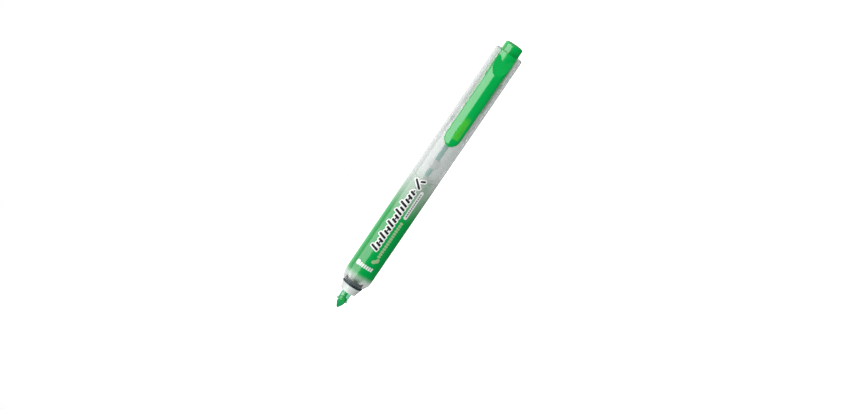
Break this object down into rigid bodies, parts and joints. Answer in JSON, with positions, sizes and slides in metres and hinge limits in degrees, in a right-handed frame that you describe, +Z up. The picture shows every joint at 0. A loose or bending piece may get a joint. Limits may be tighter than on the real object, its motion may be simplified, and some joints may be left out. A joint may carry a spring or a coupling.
{
  "type": "retractable highlighter",
  "caption": "Click-action highlighter with a frosted round barrel, clear nose, chisel nib, sealing flap, and a push button moulded with a long pocket clip.",
  "frame": {"origin": "middle of the footprint, on the surface that the pen lies on, with the pen on its side and its nib out", "axes": "+X along the barrel from nib to button, -Y towards the pocket clip, +Z up"},
  "size_m": [0.1456, 0.016, 0.0136],
  "materials": {
    "frosted_plastic": "frosted translucent polypropylene",
    "clear_plastic": "clear, slightly milky polypropylene",
    "green_plastic": "tinted glossy plastic",
    "refill_plastic": "clear plastic, pale green",
    "rod_plastic": "satin moulded plastic",
    "white_plastic": "natural acetal",
    "seal_rubber": "soft matt elastomer",
    "ink_felt": "dense bonded fibre, wet with ink",
    "black_print": "screen-printed ink",
    "white_print": "screen-printed ink",
    "spring_steel": "drawn wire"
  },
  "bodies": {
    "barrel": {"barrel_tube": "frosted_plastic", "nose_ring": "clear_plastic", "front_seal_ring": "seal_rubber", "seal_chamber": "clear_plastic", "chamber_gasket": "seal_rubber", "gasket_cap": "white_plastic", "shutter_pin": "spring_steel", "cam_sleeve": "clear_plastic", "return_spring": "spring_steel"},
    "button": {"push_button": "green_plastic"},
    "clip": {"clip_arm": "green_plastic"},
    "refill": {"nib": "ink_felt", "nib_holder": "refill_plastic", "feed_neck": "refill_plastic", "feed_wick": "ink_felt", "refill_shoulder": "white_plastic", "ink_tube": "refill_plastic", "ink_core": "ink_felt", "tail_plug": "clear_plastic", "push_rod": "rod_plastic", "tail_collar": "clear_plastic"},
    "rotor": {"cam_rotor": "white_plastic"},
    "shutter": {"shutter_flap": "seal_rubber"}
  },
  "joints": [
    {"name": "knock", "type": "slide", "parent": "barrel", "child": "button", "axis": [1, 0, 0], "range_m": [-0.001, 0.022]},
    {"name": "refill_slide", "type": "slide", "parent": "barrel", "child": "refill", "axis": [1, 0, 0], "range_m": [-0.001, 0.022], "deforming": ["return_spring"]},
    {"name": "rotor_turn", "type": "hinge", "parent": "button", "child": "rotor", "pos_m": [0.03115, 0.0012, 0.0068], "axis": [1, 0, 0], "range_deg": [-60.5, 3.2]},
    {"name": "shutter_swing", "type": "hinge", "parent": "barrel", "child": "shutter", "pos_m": [-0.05225, 0.0046, 0.0068], "axis": [0, 0, 1], "range_deg": [-4.5, 90.5], "deforming": ["shutter_flap"]},
    {"name": "clip_flex", "type": "hinge", "parent": "button", "child": "clip", "pos_m": [0.05615, -0.00713, 0.0068], "axis": [0, 0, 1], "range_deg": [0, 4], "stiffness_Nm_per_rad": 0.3}
  ],
  "couplings": [
    {"joint": "refill_slide", "follows": "knock", "ratio": 1},
    {"joint": "rotor_turn", "follows": "knock", "rad_per_m": -47.6},
    {"joint": "shutter_swing", "follows": "knock", "rad_per_m": 71.4}
  ]
}
